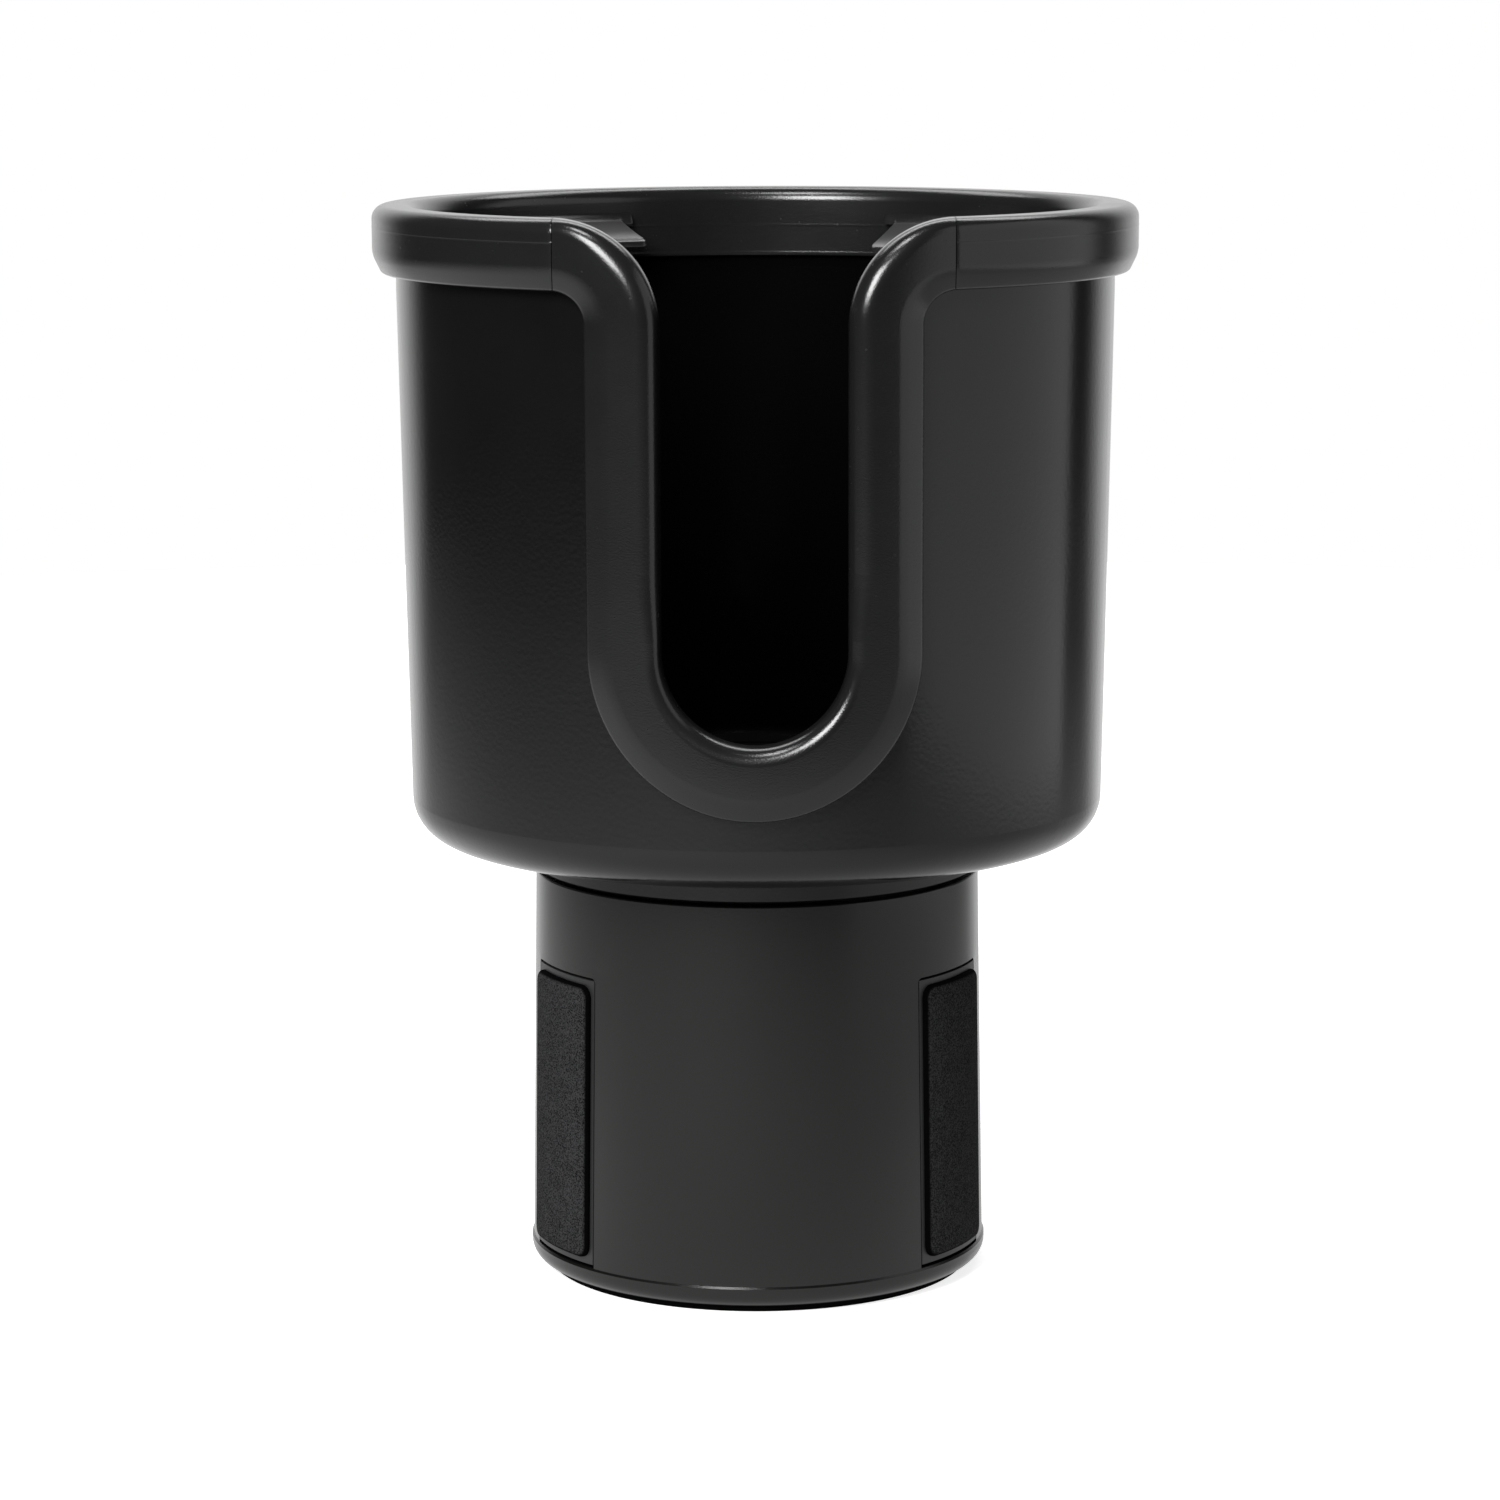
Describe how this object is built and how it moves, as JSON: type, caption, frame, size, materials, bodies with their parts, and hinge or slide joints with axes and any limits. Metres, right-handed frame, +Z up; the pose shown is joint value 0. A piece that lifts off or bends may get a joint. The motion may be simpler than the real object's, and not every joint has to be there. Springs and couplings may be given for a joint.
{
  "type": "cup holder adapter",
  "caption": "Wide car cup with a handle slot and soft rim, on a narrow base whose padded jaws spread to grip the car's own cup holder when the cup is turned.",
  "frame": {"origin": "centre of the foot's underside, where the adapter stands", "axes": "+Z up along the cup's axis, -Y towards the handle slot, +X to the right seen from the slot"},
  "size_m": [0.1186, 0.1174, 0.1681],
  "materials": {
    "base_plastic": "black moulded plastic, satin",
    "cup_plastic": "black moulded plastic with a fine leather-like grain",
    "jaw_plastic": "black moulded plastic, matt",
    "cam_plastic": "natural slippery plastic, satin",
    "trim_rubber": "soft black rubber, satin",
    "fin_rubber": "dark grey rubber, matt",
    "floor_rubber": "dark grey rubber, matt",
    "grip_foam": "speckled grey and black rubber crumb, rough",
    "foot_rubber": "black rubber, matt",
    "steel": "zinc plated steel"
  },
  "bodies": {
    "base": {"base_shell": "base_plastic", "base_cap": "base_plastic", "cap_screws": "steel", "foot_pad": "foot_rubber"},
    "cup": {"cup_body": "cup_plastic", "rim_trim": "trim_rubber", "slot_trim": "trim_rubber", "floor_pad": "floor_rubber", "turn_collar": "base_plastic", "collar_screws": "steel", "spindle_screw": "steel", "spindle": "steel", "lower_cam": "cam_plastic", "spacer_tube": "cam_plastic", "upper_cam": "cam_plastic", "thrust_washer": "steel"},
    "jaw_1": {"jaw_1": "jaw_plastic", "jaw_pins_1": "steel", "grip_pad_1": "grip_foam"},
    "jaw_2": {"jaw_2": "jaw_plastic", "jaw_pins_2": "steel", "grip_pad_2": "grip_foam"},
    "jaw_3": {"jaw_3": "jaw_plastic", "jaw_pins_3": "steel", "grip_pad_3": "grip_foam"},
    "fin_1": {"grip_fin_1": "fin_rubber"},
    "fin_2": {"grip_fin_2": "fin_rubber"},
    "fin_3": {"grip_fin_3": "fin_rubber"},
    "fin_4": {"grip_fin_4": "fin_rubber"}
  },
  "joints": [
    {"name": "cup_twist", "type": "hinge", "parent": "base", "child": "cup", "pos_m": [0, 0, 0.0693], "axis": [0, 0, -1], "range_deg": [0, 110]},
    {"name": "jaw_slide_1", "type": "slide", "parent": "base", "child": "jaw_1", "axis": [-0.866, -0.5, 0], "range_m": [0, 0.0065]},
    {"name": "jaw_slide_2", "type": "slide", "parent": "base", "child": "jaw_2", "axis": [0.866, -0.5, 0], "range_m": [0, 0.0065]},
    {"name": "jaw_slide_3", "type": "slide", "parent": "base", "child": "jaw_3", "axis": [0, 1, 0], "range_m": [0, 0.0065]},
    {"name": "fin_flex_1", "type": "hinge", "parent": "cup", "child": "fin_1", "pos_m": [-0.03259, 0.03619, 0.16166], "axis": [0.7431, 0.6691, 0], "range_deg": [-20, 50], "stiffness_Nm_per_rad": 0.05},
    {"name": "fin_flex_2", "type": "hinge", "parent": "cup", "child": "fin_2", "pos_m": [0.03259, 0.03619, 0.16166], "axis": [0.7431, -0.6691, 0], "range_deg": [-20, 50], "stiffness_Nm_per_rad": 0.05},
    {"name": "fin_flex_3", "type": "hinge", "parent": "cup", "child": "fin_3", "pos_m": [-0.043, -0.02286, 0.16166], "axis": [-0.4695, 0.8829, 0], "range_deg": [-20, 50], "stiffness_Nm_per_rad": 0.05},
    {"name": "fin_flex_4", "type": "hinge", "parent": "cup", "child": "fin_4", "pos_m": [0.043, -0.02286, 0.16166], "axis": [-0.4695, -0.8829, 0], "range_deg": [-20, 50], "stiffness_Nm_per_rad": 0.05}
  ],
  "couplings": [
    {"joint": "jaw_slide_1", "follows": "cup_twist", "m_per_rad": 0.0033856},
    {"joint": "jaw_slide_2", "follows": "cup_twist", "m_per_rad": 0.0033856},
    {"joint": "jaw_slide_3", "follows": "cup_twist", "m_per_rad": 0.0033856}
  ]
}
